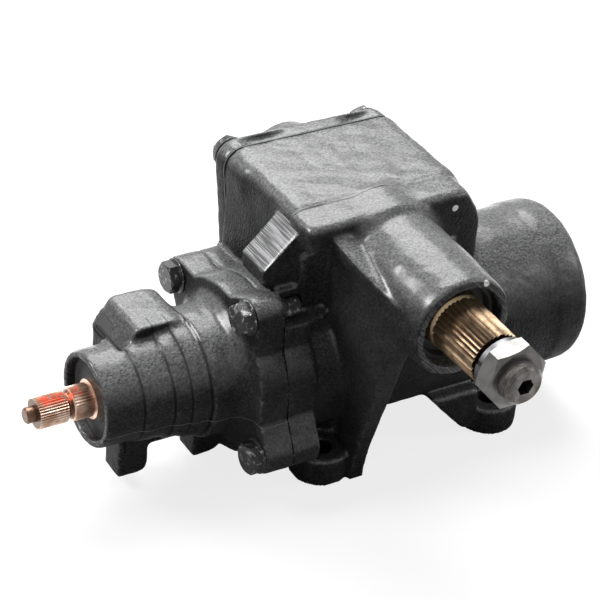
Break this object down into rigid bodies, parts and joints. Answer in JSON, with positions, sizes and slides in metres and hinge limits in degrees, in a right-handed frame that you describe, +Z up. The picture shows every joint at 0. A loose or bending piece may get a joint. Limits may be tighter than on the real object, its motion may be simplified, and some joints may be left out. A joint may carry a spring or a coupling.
{
  "type": "steering gearbox",
  "caption": "Recirculating-ball power steering gearbox with a splined input shaft, a serrated sector shaft, a hydraulic cylinder and cast frame lugs.",
  "frame": {"origin": "centre of the four frame bolts on the mounting plane under the lugs", "axes": "+X along the worm axis from the input shaft to the closed end of the cylinder, -Y towards the output end of the sector shaft, +Z up from the mounting plane"},
  "size_m": [0.353, 0.2738, 0.1713],
  "materials": {
    "black_casting": "satin black paint over sand-cast iron",
    "machined_iron": "machined",
    "black_bolts": "black oxide",
    "seal_rubber": "matte",
    "gasket_paper": "pressed fibre",
    "bronze": "turned",
    "ring_plastic": "filled sliding plastic",
    "zinc_plate": "dull zinc",
    "spring_steel": "dark phosphated",
    "bronzed_shaft": "oiled, brown oxide",
    "hard_steel": "ground"
  },
  "bodies": {
    "housing": {"main_housing": "black_casting", "valve_housing": "black_casting", "flange_bolts": "black_bolts", "flange_o_ring": "seal_rubber", "rear_end_plug": "machined_iron", "plug_o_ring": "seal_rubber", "plug_retaining_ring": "spring_steel", "side_cover": "black_casting", "side_cover_gasket": "gasket_paper", "side_cover_bolts": "black_bolts", "cover_bushing": "bronze", "adjuster_screw": "zinc_plate", "adjuster_lock_nut": "zinc_plate", "sector_bearing_shell": "hard_steel", "sector_bearing_rollers": "hard_steel", "sector_seal": "seal_rubber", "sector_seal_retainer": "spring_steel", "sector_dust_seal": "seal_rubber", "worm_bearing_outer_race": "hard_steel", "worm_bearing_balls": "hard_steel", "bearing_nut": "hard_steel", "input_needle_bearing": "hard_steel", "input_seal": "seal_rubber", "input_snap_ring": "spring_steel", "input_dust_seal": "seal_rubber"},
    "sector": {"sector_shaft": "bronzed_shaft", "adjuster_retainer": "hard_steel", "pitman_nut": "zinc_plate", "pitman_washer": "spring_steel"},
    "piston": {"rack_piston": "machined_iron", "piston_ring": "ring_plastic", "piston_ring_backing": "seal_rubber", "piston_plug": "machined_iron", "recirculating_balls": "hard_steel", "ball_guide_halves": "spring_steel", "guide_strap": "spring_steel", "strap_screws": "black_bolts"},
    "worm": {"worm": "hard_steel", "worm_bearing_inner_race": "hard_steel", "valve_sleeve": "hard_steel", "sleeve_rings": "ring_plastic", "sleeve_pin": "hard_steel", "lower_bar_pin": "hard_steel"},
    "stub": {"input_shaft": "bronzed_shaft", "torsion_bar": "hard_steel", "upper_bar_pin": "hard_steel"}
  },
  "joints": [
    {"name": "sector_turn", "type": "hinge", "parent": "housing", "child": "sector", "pos_m": [-0.023, 0, 0.135], "axis": [0, 1, 0], "range_deg": [-42, 42]},
    {"name": "piston_slide", "type": "slide", "parent": "housing", "child": "piston", "axis": [1, 0, 0], "range_m": [-0.0294, 0.0294]},
    {"name": "worm_spin", "type": "hinge", "parent": "housing", "child": "worm", "pos_m": [0, 0, 0.064], "axis": [1, 0, 0], "range_deg": [-704, 704]},
    {"name": "valve_twist", "type": "hinge", "parent": "worm", "child": "stub", "pos_m": [0, 0, 0.064], "axis": [1, 0, 0], "range_deg": [-7, 7], "stiffness_Nm_per_rad": 0.8}
  ],
  "couplings": [
    {"joint": "piston_slide", "follows": "sector_turn", "m_per_rad": -0.04},
    {"joint": "worm_spin", "follows": "sector_turn", "ratio": 16.755}
  ]
}
